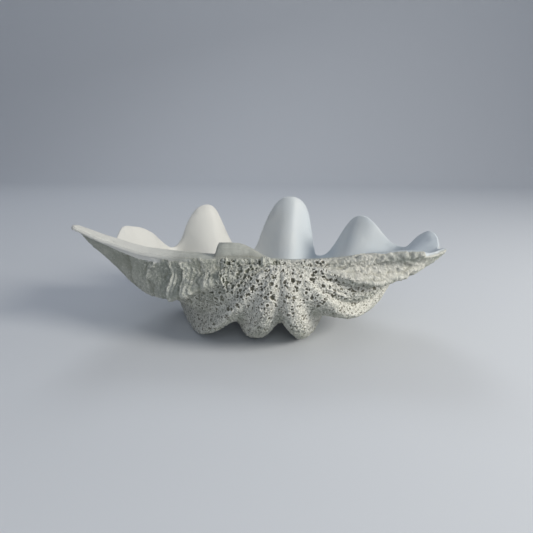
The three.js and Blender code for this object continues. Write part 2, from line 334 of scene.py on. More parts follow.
def bowl_points(x, y, width):
    """The inside of the bowl, which never passes the front wall at the edge of the plate."""
    u, s = place_of(x, y)
    wall = LIP_WALL + BELLY_WALL * ease((1 - s) / BELLY_WALL_RUN)
    fill = RIB_FILL * ease((1 - s) / RIB_FILL_RUN)
    point = shell_points(u, s, fill) + shell_normals(u, s) * wall[..., None]
    radius = np.hypot(point[..., 1], point[..., 2])
    angle = np.arctan2(-point[..., 2], point[..., 1])
    limit = np.arccos(np.minimum(width / np.maximum(y, 1e-6), 1))
    behind = ease((angle - limit + FRONT_WALL_BLEND) / (2 * FRONT_WALL_BLEND))
    turned = smooth_min(angle, limit, FRONT_WALL_BLEND)
    reach = mix(radius, y, behind)
    along = mix(point[..., 0], hinge_points(x)[..., 0], behind)
    return np.stack([along, reach * np.cos(turned), -reach * np.sin(turned)], -1)


def inside_points(x, y):
    """The hinge plate, its tooth and the bowl, one lip wall above the outer side."""
    width = plate_width(x)
    away = np.where(x < 0, x / margin_x(0.0), x / margin_x(1.0))
    past = ease((y / width - 1) / (PLATE_EDGE_ROUND + PLATE_EDGE_FLARE * away ** 2))
    plate = hinge_points(x)
    plate[..., 1] += y
    plate[..., 2] += LIP_WALL - y * plate_slope(x)
    point = mix(plate, bowl_points(x, np.maximum(y, 1e-3), width), past[..., None])
    point[..., 2] += tooth_height(point[..., 0], point[..., 1])
    return lift_ends(point), past


# ---------------------------------------------------------------- the dense skin

def rubbed(x, y):
    """How far the weathered outside reaches over the front of the hinge plate."""
    edge = ease((x - RUBBED_TO) / RUBBED_RUN) * (1 - ease((y - RUBBED_FROM_Y) / RUBBED_RUN_Y))
    begun = ease((x - ROUGH_PLATE_FROM) / ROUGH_PLATE_RUN)
    ended = ease((x - ROUGH_PLATE_TO) / ROUGH_PLATE_RUN)
    across = ease((y / plate_width(x) - ROUGH_PLATE_SHARE) / ROUGH_PLATE_FADE)
    return np.maximum(edge, begun * (1 - ended) * (1 - across))


def clean(u, s):
    """The smooth band just below the hinge on the pointed side, 1 where it is clean."""
    x = s * margin_x(u)
    return ease((CLEAN_TO - x) / CLEAN_RUN) * (1 - ease((u * s - CLEAN_DEPTH) / CLEAN_DEPTH))


def stage_rows(dense, sparse):
    """Growth stages from the margin to the umbo, closest together on the bored part."""
    young = np.linspace(1, OLD_FROM, sparse, endpoint=False)
    old = np.linspace(OLD_FROM, FIRST_STAGE, dense)
    return np.concatenate([young, old])


def outer_sheet(columns, dense, sparse):
    """The outside as rows of points, with the place and the growth stage of each."""
    u, s = np.meshgrid(np.linspace(0, 1, columns + 1), stage_rows(dense, sparse))
    return lift_ends(shell_points(u, s, rib_calm(s), groove_fill(u, s))), u, s


def plate_rows(plate, rows):
    """Rows of the inside as shares of each column: an even run over the plate, then to the margin."""
    knee = plate * PLATE_ROWS_OVER
    near = np.linspace(0, 1, rows // 3)[:, None] ** PLATE_ROWS_CROWDING * knee
    far = mix(knee, 1.0, np.linspace(0, 1, rows - rows // 3 + 1)[1:, None])
    return np.concatenate([near, far])


def inner_sheet(columns, rows):
    """The inside as rows of points, with place, stage, how far past the plate, and how rubbed."""
    u = np.linspace(0, 1, columns + 1)
    depth = margin_y(u)
    plate = np.minimum(plate_width(margin_x(u)) / np.maximum(depth, 1), 0.5)
    v = plate_rows(plate, rows)
    x = margin_x(u) * (HINGE_SHARE + (1 - HINGE_SHARE) * v ** (1 / (1 - HINGE_SHARE)))
    point, past = inside_points(x, depth * v)
    place, stage = place_of(x, depth * v)
    return point, place, stage, past, rubbed(x, depth * v)


def hinge_band(edge, rows):
    """The upright front of the hinge plate, from just above the outer edge to the plate's corner."""
    t = (np.arange(rows)[:, None] + 0.6) / (rows + 0.6)
    band = np.repeat(edge[None], rows, axis=0)
    band[..., 1] += BAND_BULGE * LIP_WALL * (t ** 6 - np.sin(np.pi * t))
    band[..., 2] -= LIP_WALL * (1 - t)
    return band


def rounded_lip(outer, inner, rows):
    """A half-round edge between the two margins, bulging the way the shell grows."""
    middle = (outer[0] + inner[-1]) / 2
    half = (inner[-1] - outer[0]) / 2
    out = unit(unit(outer[0] - outer[1]) + unit(inner[-1] - inner[-2]))
    angle = np.linspace(-np.pi / 2, np.pi / 2, rows + 2)[1:-1, None, None]
    reach = np.linalg.norm(half, axis=-1, keepdims=True)
    return middle + half * np.sin(angle) + out * reach * np.cos(angle) * LIP_BULGE


def lace(points, a, b):
    """Joins two edges with different numbers of points by their place along X."""
    triangles, i, j = [], 0, 0
    x = points[:, 0]
    while i < len(a) - 1 or j < len(b) - 1:
        next_a = x[a[i + 1]] if i < len(a) - 1 else np.inf
        next_b = x[b[j + 1]] if j < len(b) - 1 else np.inf
        if next_a <= next_b:
            triangles.append((a[i], a[i + 1], b[j]))
            i += 1
        else:
            triangles.append((a[i], b[j + 1], b[j]))
            j += 1
    return np.array(triangles)


def quads(index):
    """The four-sided faces of a table of point numbers."""
    a, b, c, d = index[:-1, :-1], index[:-1, 1:], index[1:, 1:], index[1:, :-1]
    return np.stack([a, b, c, d], -1).reshape(-1, 4)


def around_hinge(table):
    """The hinge side of a sheet: down its first column, along its last row, up its last column."""
    return np.concatenate([table[:, 0], table[-1, 1:-1], table[::-1, -1]])


def closed_skin(columns, dense, sparse, rows):
    """Points, attributes, quads and triangles of the whole valve, in millimetres about the umbo."""
    outer, u, s = outer_sheet(columns, dense, sparse)
    inner, place, stage, past, rub = inner_sheet(columns, rows)
    lip = rounded_lip(outer, inner, LIP_ROWS)
    edge = around_hinge(inner[::-1])
    band = hinge_band(edge, LIP_ROWS)
    sheets = [outer, lip, inner, band[:, 1:-1]]
    growth = [np.log(1 / s), np.zeros(lip.shape[:2]), np.log(1 / stage), None]
    places = [u, np.repeat(u[:1], LIP_ROWS, 0), place, None]
    outside = [1 - clean(u, s), np.linspace(0.9, 0.1, LIP_ROWS)[:, None], rub,
               around_hinge(rub[::-1])[None, 1:-1]]
    hinge = [np.zeros_like(u), 0.0, 1 - past, 1.0]
    inner_growth, inner_place = around_hinge(growth[2][::-1]), around_hinge(place[::-1])
    growth[3], places[3] = inner_growth[None, 1:-1], inner_place[None, 1:-1]

    tables, start = [], 0
    for sheet in sheets:
        size = sheet.shape[0] * sheet.shape[1]
        tables.append(np.arange(size).reshape(sheet.shape[:2]) + start)
        start += size
    points = np.concatenate([sheet.reshape(-1, 3) for sheet in sheets])
    values = {}
    for name, parts in (("growth", growth), ("place", places), ("outside", outside), ("hinge", hinge)):
        flat = [np.broadcast_to(part, sheet.shape[:2]).ravel() for part, sheet in zip(parts, sheets)]
        values[name] = np.concatenate(flat).astype(np.float32)

    o, l, i, b = tables
    b = np.concatenate([l[:, :1], b, l[:, -1:]], axis=1)
    upper = around_hinge(i[::-1])
    rim = np.concatenate([i[-1:], l[::-1], o[:1]])
    front = np.concatenate([b, upper[None]])
    faces = np.concatenate([quads(o), quads(rim), quads(i), quads(front)])
    return points, values, faces, lace(points, around_hinge(o), b[0])


# ---------------------------------------------------------------- meshes and node trees

def mesh_of(name, points, quads_table, triangles, values):
    """A mesh from arrays, with each named array as a number on every vertex."""
    mesh = bpy.data.meshes.new(name)
    loops = np.concatenate([quads_table.ravel(), triangles.ravel()]).astype(np.int32)
    sizes = np.concatenate([np.full(len(quads_table), 4), np.full(len(triangles), 3)])
    starts = np.concatenate([[0], np.cumsum(sizes)[:-1]]).astype(np.int32)
    mesh.vertices.add(len(points))
    mesh.vertices.foreach_set("co", points.astype(np.float32).ravel())
    mesh.loops.add(len(loops))
    mesh.loops.foreach_set("vertex_index", loops)
    mesh.polygons.add(len(sizes))
    mesh.polygons.foreach_set("loop_start", starts)
    mesh.update(calc_edges=True)
    for key, numbers in values.items():
        mesh.attributes.new(key, "FLOAT", "POINT").data.foreach_set("value", numbers)
    mesh.validate()
    return mesh


class Tree:
    """Short calls for building a node tree: every call adds one node and gives its output."""

    def __init__(self, tree):
        self.tree = tree

    def attribute(self, name):
        """A number that the mesh holds on every vertex."""
        if self.tree.type == "GEOMETRY":
            made = self.node("GeometryNodeInputNamedAttribute", {"Name": name}, data_type="FLOAT")
            return made.outputs["Attribute"]
        return self.node("ShaderNodeAttribute", attribute_name=name).outputs["Fac"]

    def node(self, kind, inputs=(), **settings):
        made = self.tree.nodes.new(kind)
        for key, value in settings.items():
            setattr(made, key, value)
        for key, value in dict(inputs).items():
            self.feed(made.inputs[key], value)
        return made

    def feed(self, socket, value):
        if isinstance(value, bpy.types.NodeSocket):
            self.tree.links.new(value, socket)
        else:
            socket.default_value = value

    def math(self, operation, *values, clamp=False):
        made = self.node("ShaderNodeMath", operation=operation, use_clamp=clamp)
        for socket, value in zip(made.inputs, values):
            self.feed(socket, value)
        return made.outputs[0]

    def times(self, *values):
        total = values[0]
        for value in values[1:]:
            total = self.math("MULTIPLY", total, value)
        return total

    def plus(self, *values):
        total = values[0]
        for value in values[1:]:
            total = self.math("ADD", total, value)
        return total

    def most(self, *values):
        total = values[0]
        for value in values[1:]:
            total = self.math("MAXIMUM", total, value)
        return total

    def vector(self, operation, *values, scale=None):
        made = self.node("ShaderNodeVectorMath", operation=operation)
        for socket, value in zip(made.inputs, values):
            self.feed(socket, value)
        if scale is not None:
            self.feed(made.inputs["Scale"], scale)
        return made.outputs[0]

    def span(self, value, low, high, to_low=0.0, to_high=1.0):
        """A smooth step of value from low to high."""
        made = self.node("ShaderNodeMapRange", interpolation_type="SMOOTHSTEP")
        for key, number in zip((0, 1, 2, 3, 4), (value, low, high, to_low, to_high)):
            self.feed(made.inputs[key], number)
        return made.outputs[0]

    def noise(self, vector, scale, detail=2.0, rough=0.5, seed=0.0, output=0):
        """Cloudy random values from 0 to 1, with scale as clouds to the metre."""
        made = self.node("ShaderNodeTexNoise", noise_dimensions="4D")
        inputs = {"Vector": vector, "Scale": scale, "Detail": detail, "Roughness": rough, "W": seed}
        for key, value in inputs.items():
            self.feed(made.inputs[key], value)
        return made.outputs[output]

    def wander(self, vector, scale, seed):
        """A random vector about zero."""
        return self.vector("SUBTRACT", self.noise(vector, scale, 2, 0.5, seed, 1), (0.5, 0.5, 0.5))

    def centred(self, value, size):
        """A 0 to 1 value as plus or minus half of size."""
        return self.math("MULTIPLY", self.math("SUBTRACT", value, 0.5), size)

    def fade(self, a, b, share):
        """A number share of the way from a to b."""
        made = self.node("ShaderNodeMix", data_type="FLOAT")
        for key, value in zip((0, 2, 3), (share, a, b)):
            self.feed(made.inputs[key], value)
        return made.outputs[0]

    def tint(self, a, b, share):
        """A colour share of the way from a to b."""
        made = self.node("ShaderNodeMix", data_type="RGBA")
        for key, value in zip((0, 6, 7), (share, a, b)):
            ready = isinstance(value, (float, bpy.types.NodeSocket))
            self.feed(made.inputs[key], value if ready else (*value, 1))
        return made.outputs[2]

    def cells(self, vector, scale):
        """Distance to the nearest of the random points, and that point's own random colour."""
        made = self.node("ShaderNodeTexVoronoi", {"Vector": vector, "Scale": scale}, voronoi_dimensions="3D")
        return made.outputs["Distance"], made.outputs["Color"]


# ---------------------------------------------------------------- wear on the outside

# Each kind of boring: its spacing, width and depth as shares of the named sizes.
WIDE_BORINGS = (1.9, 1.55, 1.0)
COMMON_BORINGS = (1.0, 1.0, 0.8)
FINE_BORINGS = (0.5, 0.42, 0.35)
BORING_WANDER = 0.004

# Each size of growth leaf: its count and height as shares of the named sizes.
LEAF_SIZES = ((0.2, 1.35), (0.8, 0.6))
LEAF_CURVE = 1.6
LEAF_DROP = (1.0, 0.88)
LEAF_SWAY = 5.0
LEAF_RIPPLE = 2.6

# How far the cords stray from straight, in cords, and how sharp they are.
CORD_SWAY = 5.0
CORD_RIPPLE = 1.8
CORD_SHARPNESS = 3.0

# Zones of the outside, each as where it is absent and where it is full. Places run from 0 at the
# pointed end to 1 at the blunt end. Ages run from 0 at the margin to about 4 at the umbo.
BORED_FROM_PLACE = (0.07, 0.20)
BORED_TO_PLACE = (1.0, 0.83)
BORED_PLACE_SPREAD = 0.22
BORED_AGE = (0.12, 0.45)
UMBO_AGE = (1.1, 1.7)
LEAFY_PLACE = (0.20, 0.09)
LEAFY_AGE = (0.25, 0.5)
CORDED_PLACE = (0.79, 0.87)
CORDED_FROM_AGE = (0.03, 0.25)
CORDED_TO_AGE = (1.7, 0.8)
BLUNT_PLACE = (0.78, 0.88)
DOWNWARD = (-0.2, -0.85)


def label(key):
    """The name that a size has as an input of the wear tree."""
    return key.replace("_", " ").title()


def new_wear_tree(keys):
    """An empty geometry tree with one named input for every size in keys."""
    tree = bpy.data.node_groups.new("shell_wear", "GeometryNodeTree")
    tree.interface.new_socket("Geometry", in_out="INPUT", socket_type="NodeSocketGeometry")
    for key in keys:
        kind = "NodeSocketInt" if key == "seed" else "NodeSocketFloat"
        tree.interface.new_socket(label(key), in_out="INPUT", socket_type=kind)
    tree.interface.new_socket("Finish", in_out="INPUT", socket_type="NodeSocketMaterial")
    tree.interface.new_socket("Geometry", in_out="OUTPUT", socket_type="NodeSocketGeometry")
    return tree


def boring_field(t, given, spot, cover, kinds):
    """Holes that boring animals left, 1 at the bottom and 0 between, and the raised rims round them."""
    wander = t.vector("SCALE", t.wander(spot, 190, given["Seed"]), scale=BORING_WANDER)
    moved = t.vector("SCALE", (0.31, 0.17, 0.23), scale=given["Seed"])
    bent = t.vector("ADD", t.vector("ADD", spot, wander), moved)
    total = rims = None
    for spacing, width, depth in kinds:
        gap = t.times(given["Boring Spacing"], spacing)
        near, chance = t.cells(bent, t.math("DIVIDE", 1.0, gap))
        parts = t.node("ShaderNodeSeparateXYZ", {0: chance}).outputs
        across = t.math("DIVIDE", t.times(given["Boring Width"], width * 0.5), gap)
        reach = t.times(across, t.span(parts[0], 0.0, 1.0, 0.65, 1.25), t.span(cover, 0.0, 0.55))
        hole = t.span(near, reach, t.times(reach, 0.6))
        hole = t.times(hole, t.span(parts[1], 0.0, 1.0, 0.6, 1.2), depth)
        rim = t.span(near, t.times(reach, 1.7), t.times(reach, 1.1))
        rim = t.times(rim, t.span(reach, 0.0, 0.15), depth)
        total = hole if total is None else t.most(total, hole)
        rims = rim if rims is None else t.most(rims, rim)
    return total, t.times(rims, t.math("SUBTRACT", 1.0, total, clamp=True))


def leaf_field(t, given, spot, growth, place):
    """Edges of the growth leaves: a slow rise toward the margin and a sharp drop, in two sizes."""
    stage = t.math("EXPONENT", t.times(growth, -1.0))
    slow, quick = (t.noise(spot, scale, 2, 0.5, given["Seed"]) for scale in (20, 95))
    total = None
    for count, height in LEAF_SIZES:
        phase = t.plus(t.times(stage, given["Leaf Count"], count),
                       t.times(slow, LEAF_SWAY * count ** 0.5), t.times(quick, LEAF_RIPPLE * count))
        saw = t.math("FRACT", phase)
        leaf = t.times(t.math("POWER", saw, LEAF_CURVE), t.span(saw, *LEAF_DROP), height)
        total = leaf if total is None else t.plus(total, leaf)
    pointed = t.times(t.span(place, *LEAFY_PLACE), t.span(growth, *LEAFY_AGE))
    elsewhere = t.fade(0.16, 0.24, t.span(growth, 0.5, 0.15))
    patch = t.span(t.noise(spot, 34, 2, 0.5, t.plus(given["Seed"], 7)), 0.38, 0.62, 0.2, 1.0)
    return t.times(total, t.most(pointed, elsewhere), patch)


def cord_field(t, given, spot, growth, place):
    """Wavy cords that run along the blunt end."""
    along = t.plus(t.times(place, given["Cord Count"]),
                   t.times(t.noise(spot, 20, 3, 0.6, t.plus(given["Seed"], 3)), CORD_SWAY),
                   t.times(t.noise(spot, 85, 2, 0.6, t.plus(given["Seed"], 4)), CORD_RIPPLE))
    wave = t.math("ABSOLUTE", t.math("COSINE", t.times(along, math.pi)))
    cord = t.math("SUBTRACT", 1.0, t.times(t.math("POWER", wave, CORD_SHARPNESS), 2.0))
    patch = t.span(t.noise(spot, 40, 1, 0.5, t.plus(given["Seed"], 13)), 0.35, 0.6, 0.3, 1.0)
    share = t.times(t.span(place, *CORDED_PLACE), t.span(growth, *CORDED_FROM_AGE),
                    t.span(growth, *CORDED_TO_AGE), patch)
    return t.times(cord, share)


def ground_field(t, given, spot):
    """Rough ground with sharp small crests, about zero."""
    coarse = t.centred(t.noise(spot, 260, 3, 0.6, t.plus(given["Seed"], 11)), 2.4)
    wave = t.centred(t.noise(spot, 190, 3, 0.55, t.plus(given["Seed"], 5)), 3.4)
    crest = t.math("SUBTRACT", 0.3, t.math("ABSOLUTE", wave))
    return t.plus(t.times(coarse, 0.9), t.times(crest, 0.9))


def bored_cover(t, given, spot, growth, place, outside):
    """How closely the outside is bored: most in its middle and on the umbo, and in patches."""
    drift = t.centred(t.noise(spot, 30, 3, 0.6, t.plus(given["Seed"], 17)), BORED_PLACE_SPREAD)
    drawn = t.plus(place, drift)
    middle = t.times(t.span(drawn, *BORED_FROM_PLACE), t.span(drawn, *BORED_TO_PLACE))
    patch = t.span(t.noise(spot, 24, 2, 0.5, given["Seed"]), 0.34, 0.5, 0.7, 1.0)
    return t.times(outside, t.span(growth, *BORED_AGE), t.most(middle, t.span(growth, *UMBO_AGE)), patch)


def hinge_streaks(t, given, spot):
    """Long thin streaks along the hinge, from 0 to 1."""
    return t.noise(t.vector("MULTIPLY", spot, (14.0, 260.0, 260.0)), 1.0, 3, 0.6, given["Seed"])


def wear_fields(t, given, spot):
    """The wear as named numbers for the finish, and its height above the grown surface."""
    growth, place = t.attribute("growth"), t.attribute("place")
    outside, hinge = t.attribute("outside"), t.attribute("hinge")
    cover = bored_cover(t, given, spot, growth, place, outside)
    boring, rim = boring_field(t, given, spot, cover, (WIDE_BORINGS, COMMON_BORINGS))
    leaf = leaf_field(t, given, spot, growth, place)
    cord = cord_field(t, given, spot, growth, place)
    blunt = t.times(t.span(place, *BLUNT_PLACE), 1.2)
    rough = t.fade(0.45, 1.0, t.most(cover, blunt, t.times(t.span(growth, *BORED_AGE), 0.6)))
    relief = t.times(ground_field(t, given, spot), t.times(rough, outside))
    scored = t.times(t.centred(hinge_streaks(t, given, spot), 2.0), hinge)
    height = t.plus(t.times(boring, given["Boring Depth"], -1.0), t.times(rim, given["Rim Height"]),
                    t.times(leaf, given["Leaf Height"], outside),
                    t.times(cord, given["Cord Height"], outside),
                    t.times(relief, given["Roughness"]), t.times(scored, given["Hinge Scoring"]))
    return {"cover": cover, "relief": relief, "leaf": leaf, "cord": cord}, height


def stored(t, body, name, value, kind="FLOAT"):
    """The body with a value kept on every vertex."""
    inputs = {"Geometry": body, "Name": name, "Value": value}
    made = t.node("GeometryNodeStoreNamedAttribute", inputs, data_type=kind, domain="POINT")
    return made.outputs[0]


def on_the_floor(t, spot):
    """A place, or the floor under it where it is lower."""
    parts = t.node("ShaderNodeSeparateXYZ", {0: spot}).outputs
    raised = {0: parts[0], 1: parts[1], 2: t.most(parts[2], 0.0)}
    return t.node("ShaderNodeCombineXYZ", raised).outputs[0]


def wear_tree(keys):
    """Bores, leaves, cords and roughens the outside, and scores the hinge."""
    t = Tree(new_wear_tree(keys))
    given = t.node("NodeGroupInput").outputs
    spot = t.node("GeometryNodeInputPosition").outputs[0]
    normal = t.node("GeometryNodeInputNormal").outputs[0]
    fields, height = wear_fields(t, given, spot)
    # How far each spot faces down; the finish paints green-grey shade there.
    fields["under"] = t.span(t.node("ShaderNodeSeparateXYZ", {0: normal}).outputs[2], *DOWNWARD)
    body = stored(t, given["Geometry"], "grown", spot, "FLOAT_VECTOR")
    for name, value in fields.items():
        body = stored(t, body, name, value)
    drift = t.vector("SCALE", t.wander(spot, 17, t.plus(given["Seed"], 21)), scale=given["Warp"])
    push = t.vector("ADD", t.vector("SCALE", normal, scale=height), drift)
    body = t.node("GeometryNodeSetPosition", {"Geometry": body, "Offset": push}).outputs[0]
    worn = on_the_floor(t, t.node("GeometryNodeInputPosition").outputs[0])
    body = t.node("GeometryNodeSetPosition", {"Geometry": body, "Position": worn}).outputs[0]
    body = t.node("GeometryNodeSetShadeSmooth", {"Geometry": body, "Shade Smooth": True}).outputs[0]
    body = t.node("GeometryNodeRealizeInstances", {0: body}).outputs[0]
    body = t.node("GeometryNodeSetMaterial", {"Geometry": body, "Material": given["Finish"]}).outputs[0]
    t.node("NodeGroupOutput", {0: body})
    return t.tree


def wear(piece, settings, keys, finish):
    """Adds the wear to the piece as a modifier with its inputs set."""
    tree = wear_tree(keys)
    modifier = piece.modifiers.new("wear", "NODES")
    modifier.node_group = tree
    for item in tree.interface.items_tree:
        if item.in_out == "INPUT" and item.name == "Finish":
            modifier[item.identifier] = finish
        for key in keys:
            if item.in_out == "INPUT" and item.name == label(key):
                modifier[item.identifier] = getattr(settings, key)


def as_plain_mesh(piece):
    """Applies every modifier of the piece."""
    bpy.context.view_layer.update()
    rest = piece.evaluated_get(bpy.context.evaluated_depsgraph_get())
    made = bpy.data.meshes.new_from_object(rest, preserve_all_data_layers=True,
                                           depsgraph=bpy.context.evaluated_depsgraph_get())
    old = piece.data
    piece.modifiers.clear()
    piece.data = made
    bpy.data.meshes.remove(old)
    made.name = piece.name
    return made


# ---------------------------------------------------------------- finish

MARKS = ("growth", "place", "outside", "hinge", "under", "cover", "relief", "leaf", "cord")
BUMP_HEIGHT = 0.0026
PORCELAIN_GLOSS = 0.5
HINGE_GLOSS = 0.65
CHALK_GLOSS = 0.92


def painted_green_shade_share(t, marks):
    """Where the outside gets painted green-grey shade: on the pointed end and on the underside."""
    place = marks["place"]
    old_or_end = t.most(t.span(marks["growth"], 0.1, 0.35), t.span(place, 0.12, 0.06))
    pointed = t.times(t.span(place, 0.34, 0.1), old_or_end)
    return t.most(t.times(pointed, 0.55), t.times(marks["under"], 0.65))


def chalk_colour(t, colours, marks, spot, bored, rim, pitted):
    """The weathered outside: chalk with painted highlights on crests, rims and leaf crests, painted shade in
    hollows, pits, holes, cord valleys and at leaf feet, and painted green-grey shade on the underside and
    the pointed end.
    """
    # The relief height with fine speckle, which sets the painted highlight on high ground and the painted
    # shade in low ground below.
    worn = t.plus(marks["relief"], t.centred(t.noise(spot, 520, 3, 0.65, 9.0), 1.1))
    pointed = t.span(marks["place"], 0.3, 0.15)
    # Painted shade at the foot of each leaf edge on the pointed end, and painted highlight on each leaf
    # crest.
    leaf_foot_shade = t.times(t.span(marks["leaf"], 0.14, 0.0), t.span(marks["growth"], 0.05, 0.3), pointed)
    lit_leaves = t.times(t.span(marks["leaf"], 0.35, 1.0), pointed)
    cloud = t.span(t.noise(spot, 16, 4, 0.6, 3.0), 0.38, 0.62)
    chalk = t.tint(colours.chalk, colours.chalk_shade, cloud)
    layers = (
        # Painted highlight on high ground, then painted shade in low ground.
        (colours.pale_chalk_and_highlight, t.times(t.span(worn, 0.05, 0.6), 0.8)),
        (colours.recess_shade, t.times(t.span(worn, -0.05, -0.7), 0.75)),
        # Painted shade at the leaf feet, then painted highlight on the leaf crests.
        (colours.recess_shade, t.times(leaf_foot_shade, 0.7)),
        (colours.pale_chalk_and_highlight, t.times(lit_leaves, 0.7)),
        # Painted shade in the cord valleys.
        (colours.recess_shade, t.times(t.span(marks["cord"], 0.0, -0.8), 0.4)),
        (colours.pale_chalk_and_highlight, t.times(t.span(marks["place"], 0.8, 0.92), 0.1)),
        # Painted highlight on the raised rims round the holes.
        (colours.pale_chalk_and_highlight, t.times(t.span(rim, 0.0, 0.7), 0.75)),
        # Painted shade in the fine pits, then in the bored holes.
        (colours.recess_shade, t.span(pitted, 0.06, 0.3)),
        (colours.boring, t.times(t.span(bored, 0.1, 0.5), 0.92)),
        # Painted green-grey shade on the underside and the pointed end, strongest on low ground.
        (colours.painted_green_shade, t.times(painted_green_shade_share(t, marks), t.span(worn, 0.5, -0.3, 0.45, 1.0))),
    )
    for colour, share in layers:
        chalk = t.tint(chalk, colour, share)
    return chalk


def porcelain_colour(t, colours, marks, spot, given):
    """The smooth inside with painted shade, bluer and darker, toward the blunt end, and the duller hinge
    plate with painted shade along its streaks.
    """
    # Painted shade toward the blunt end, bluer and darker, broken into patches.
    patchy = t.span(t.noise(spot, 9, 3, 0.5, 5.0), 0.25, 0.6, 0.5, 1.0)
    cool = t.times(t.span(marks["place"], 0.38, 0.62), patchy)
    pale = t.tint(colours.porcelain, colours.porcelain_painted_shade, cool)
    cloud = t.span(t.noise(spot, 60, 4, 0.6, 2.0), 0.35, 0.65)
    dull = t.tint(colours.hinge, colours.chalk_shade, cloud)
    # Painted shade along the hinge streaks, where the scored grooves lie.
    streaks = t.span(hinge_streaks(t, given, spot), 0.5, 0.3)
    dull = t.tint(dull, colours.recess_shade, t.times(streaks, 0.55))
    plate = t.times(t.span(marks["hinge"], 0.35, 0.9), t.span(marks["growth"], 0.35, 0.95, 0.2, 0.9))
    return t.tint(pale, dull, plate)


def shell_finish(settings, colours):
    """Chalk outside, porcelain inside and a duller hinge, in one material."""
    material = bpy.data.materials.new("shell_chalk_and_porcelain")
    material.use_nodes = True
    material.node_tree.nodes.clear()
    t = Tree(material.node_tree)
    spot = t.node("ShaderNodeAttribute", attribute_name="grown").outputs["Vector"]
    given = {label(key): float(getattr(settings, key)) for key in WEAR_KEYS}
    marks = {name: t.attribute(name) for name in MARKS}
    cover, outside, hinge = marks["cover"], marks["outside"], marks["hinge"]
    bored, rim = boring_field(t, given, spot, cover, (WIDE_BORINGS, COMMON_BORINGS))
    pitted, _ = boring_field(t, given, spot, t.most(cover, t.times(outside, 0.3)), (FINE_BORINGS,))

    ragged = t.plus(outside, t.centred(t.noise(spot, 130, 3, 0.6, 1.0), 0.5),
                    t.centred(t.noise(spot, 45, 2, 0.5, 8.0), 0.5))
    edge = t.span(ragged, 0.3, 0.75)
    chalk = chalk_colour(t, colours, marks, spot, bored, rim, pitted)
    colour = t.tint(porcelain_colour(t, colours, marks, spot, given), chalk, edge)
    gloss = t.fade(t.fade(PORCELAIN_GLOSS, HINGE_GLOSS, hinge), CHALK_GLOSS, edge)

    fine = t.times(t.noise(spot, 1100, 3, 0.7, 4.0), 0.35)
    grain = t.plus(fine, t.noise(spot, 430, 4, 0.65, 6.0), t.times(pitted, -0.8))
    height = t.times(grain, t.most(edge, t.times(hinge, 0.35)))
    bump = t.node("ShaderNodeBump", {"Height": height, "Distance": BUMP_HEIGHT, "Strength": 1.0})
    look = {"Base Color": colour, "Roughness": gloss, "Normal": bump.outputs[0]}
    skin = t.node("ShaderNodeBsdfPrincipled", look)
    t.node("ShaderNodeOutputMaterial", {"Surface": skin.outputs[0]})
    return material


# ---------------------------------------------------------------- settings

def size(name, text, default):
    """A length in metres."""
    return FloatProperty(name=name, description=text, default=default, min=0, max=1,
                         subtype="DISTANCE", unit="LENGTH", precision=5)


def tone(name, text, default):
    """A colour, as shares of red, green and blue."""
    return FloatVectorProperty(name=name, description=text, default=default, min=0, max=1, size=3,
                               subtype="COLOR")


def count(name, text, default, low):
    """A whole number that is at least low."""
    return IntProperty(name=name, description=text, default=default, min=low)


def power(name, text, default):
    """The power of a lamp."""
    return FloatProperty(name=name, description=text, default=default, min=0, subtype="POWER",
                         unit="POWER")


WEAR_KEYS = ("boring_width", "boring_depth", "rim_height", "boring_spacing", "leaf_count", "leaf_height",
             "cord_count", "cord_height", "roughness", "hinge_scoring", "warp", "seed")


class ClamWear(bpy.types.PropertyGroup):
    """Sizes of the wear on the outside, and how finely the valve is made."""

    boring_width: size("Boring width", "Width of a typical bored hole", 0.0034)
    boring_depth: size("Boring depth", "Depth of a typical bored hole", 0.0034)
    rim_height: size("Rim height", "Height of the rim round a bored hole", 0.0007)
    boring_spacing: size("Boring spacing", "Distance between bored holes", 0.0042)
    leaf_count: FloatProperty(name="Growth leaves", default=52,
                              description="Growth leaves from umbo to margin")
    leaf_height: size("Leaf height", "Height of the edge of a growth leaf", 0.0036)
    cord_count: FloatProperty(name="Cords", default=46,
                              description="Fine cords counted round the whole margin")
    cord_height: size("Cord height", "Height of the cords on the blunt end", 0.0017)
    roughness: size("Roughness", "Height of the rough ground between the holes", 0.0019)
    hinge_scoring: size("Hinge scoring", "Depth of the lines along the hinge", 0.0006)
    warp: size("Warp", "How far the shell strays from its growth law", 0.006)
    seed: IntProperty(name="Seed", description="Changes every random place", default=3)
    columns: count("Columns", "Grid columns round the margin", 900, 60)
    old_rows: count("Old rows", "Grid rows on the old, bored part", 400, 20)
    young_rows: count("Young rows", "Grid rows near the margin", 70, 8)
    inner_rows: count("Inner rows", "Grid rows on the inside", 130, 20)
    triangles: count("Triangles", "Most triangles in the finished valve", 192000, 1)


